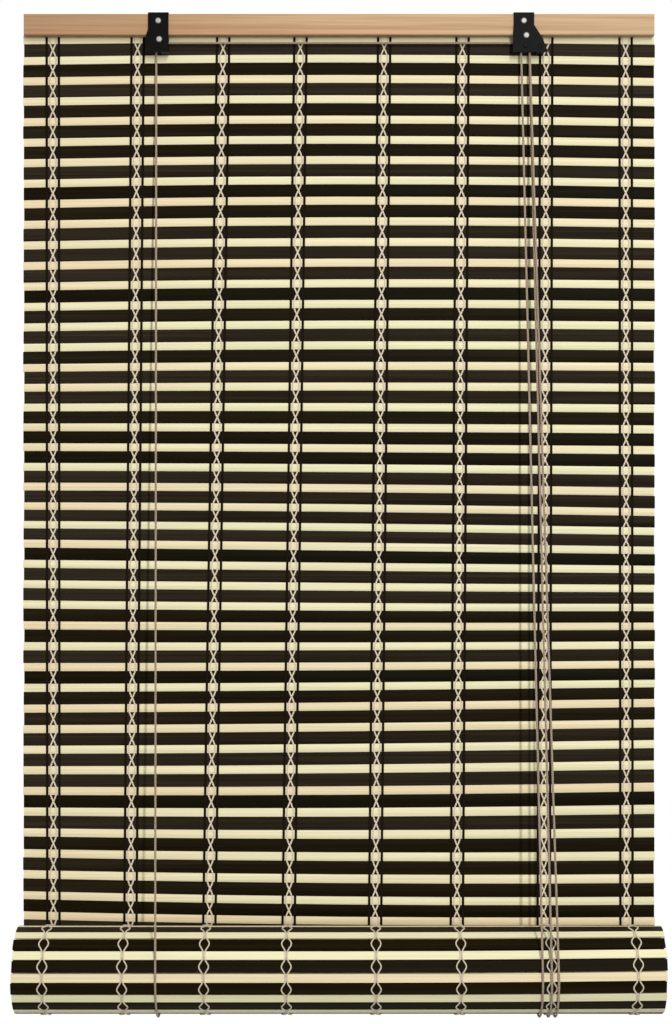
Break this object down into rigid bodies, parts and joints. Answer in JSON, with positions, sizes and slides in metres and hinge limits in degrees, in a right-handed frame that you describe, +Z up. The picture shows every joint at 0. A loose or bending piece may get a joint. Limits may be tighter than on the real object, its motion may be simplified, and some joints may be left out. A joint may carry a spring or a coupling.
{
  "type": "bamboo roll up blind",
  "caption": "Bamboo roll up blind, half raised: striped slat mat rolled at the front in cord loops, under a wooden head rail with steel hangers, sheaves and a cord lock.",
  "frame": {"origin": "midway between the two hanger holes, at the top faces of the hanger tabs", "axes": "+Z up, +X to the right as seen from the room, +Y towards the wall or window"},
  "size_m": [0.6, 0.1014, 0.943],
  "materials": {
    "rail_wood": "pale tan batten with fine reddish grain, thin clear varnish",
    "black_steel": "black lacquered sheet steel",
    "bright_steel": "bright plated heads",
    "sheave_plastic": "black moulded plastic",
    "cam_steel": "dark plain steel with cut teeth",
    "tack_steel": "plain steel wire",
    "light_bamboo": "cream bamboo with long fine fibres, smooth",
    "dark_bamboo": "near black stained bamboo with brown and grey streaks",
    "light_thread": "off-white twisted cotton thread",
    "dark_thread": "dark brown twisted thread",
    "tan_cord": "tan twisted cord"
  },
  "bodies": {
    "head": {"head_rail": "rail_wood", "left_hanger_strap": "black_steel", "right_hanger_strap": "black_steel", "upper_bracket_screws": "bright_steel", "lock_frame_rivet": "bright_steel", "left_pulley_cage": "black_steel", "lock_frame": "black_steel", "pulley_cage_rivet": "bright_steel", "left_sheave_pin": "black_steel", "right_sheave_pin": "black_steel", "lock_cam_pin": "black_steel", "hem_tacks": "tack_steel", "cord_eyes": "tack_steel", "upper_light_slats": "light_bamboo", "hem_slat": "dark_bamboo", "upper_dark_slats": "dark_bamboo", "lower_light_slats": "light_bamboo", "lower_dark_slats": "dark_bamboo", "upper_weave": "light_thread", "upper_edge_threads": "dark_thread", "lower_weave": "light_thread", "lower_edge_threads": "dark_thread", "left_front_cord": "tan_cord", "right_front_cord": "tan_cord", "left_pull_cord": "tan_cord", "right_pull_cord": "tan_cord", "left_back_cord": "tan_cord", "right_back_cord": "tan_cord", "cross_cord": "tan_cord", "right_sheave_cord": "tan_cord"},
    "sling": {"left_lift_loop": "tan_cord", "right_lift_loop": "tan_cord", "left_pull_loop": "tan_cord", "right_pull_loop": "tan_cord", "left_pull_coil": "tan_cord", "right_pull_coil": "tan_cord", "coil_ties": "tan_cord", "pull_knots": "tan_cord"},
    "roll": {"roll_light_slats": "light_bamboo", "roll_dark_slats": "dark_bamboo", "roll_weave": "light_thread", "bottom_dowel": "rail_wood"},
    "left_wheel": {"left_sheave": "sheave_plastic"},
    "right_wheel": {"right_sheave": "sheave_plastic"},
    "cam": {"lock_cam": "cam_steel"}
  },
  "joints": [
    {"name": "roll_lift", "type": "slide", "parent": "head", "child": "sling", "axis": [0, 0, 1], "range_m": [0, 0.72], "deforming": ["lower_light_slats", "lower_dark_slats", "lower_weave", "lower_edge_threads", "left_front_cord", "right_front_cord", "left_pull_cord", "right_pull_cord", "left_back_cord", "right_back_cord"]},
    {"name": "roll_spin", "type": "hinge", "parent": "sling", "child": "roll", "pos_m": [0, -0.0487, -0.9], "axis": [1, 0, 0], "range_deg": [-1080, 0]},
    {"name": "left_sheave_spin", "type": "hinge", "parent": "head", "child": "left_wheel", "pos_m": [-0.1713, -0.0178, -0.0316], "axis": [0, 1, 0], "continuous": true},
    {"name": "right_sheave_spin", "type": "hinge", "parent": "head", "child": "right_wheel", "pos_m": [0.1745, -0.0178, -0.0316], "axis": [0, 1, 0], "continuous": true},
    {"name": "cam_release", "type": "hinge", "parent": "head", "child": "cam", "pos_m": [0.1887, -0.0178, -0.032], "axis": [0, 1, 0], "range_deg": [0, 25]}
  ],
  "couplings": [
    {"joint": "roll_spin", "follows": "roll_lift", "rad_per_m": -26.11},
    {"joint": "left_sheave_spin", "follows": "roll_lift", "rad_per_m": 500},
    {"joint": "right_sheave_spin", "follows": "roll_lift", "rad_per_m": 500}
  ]
}
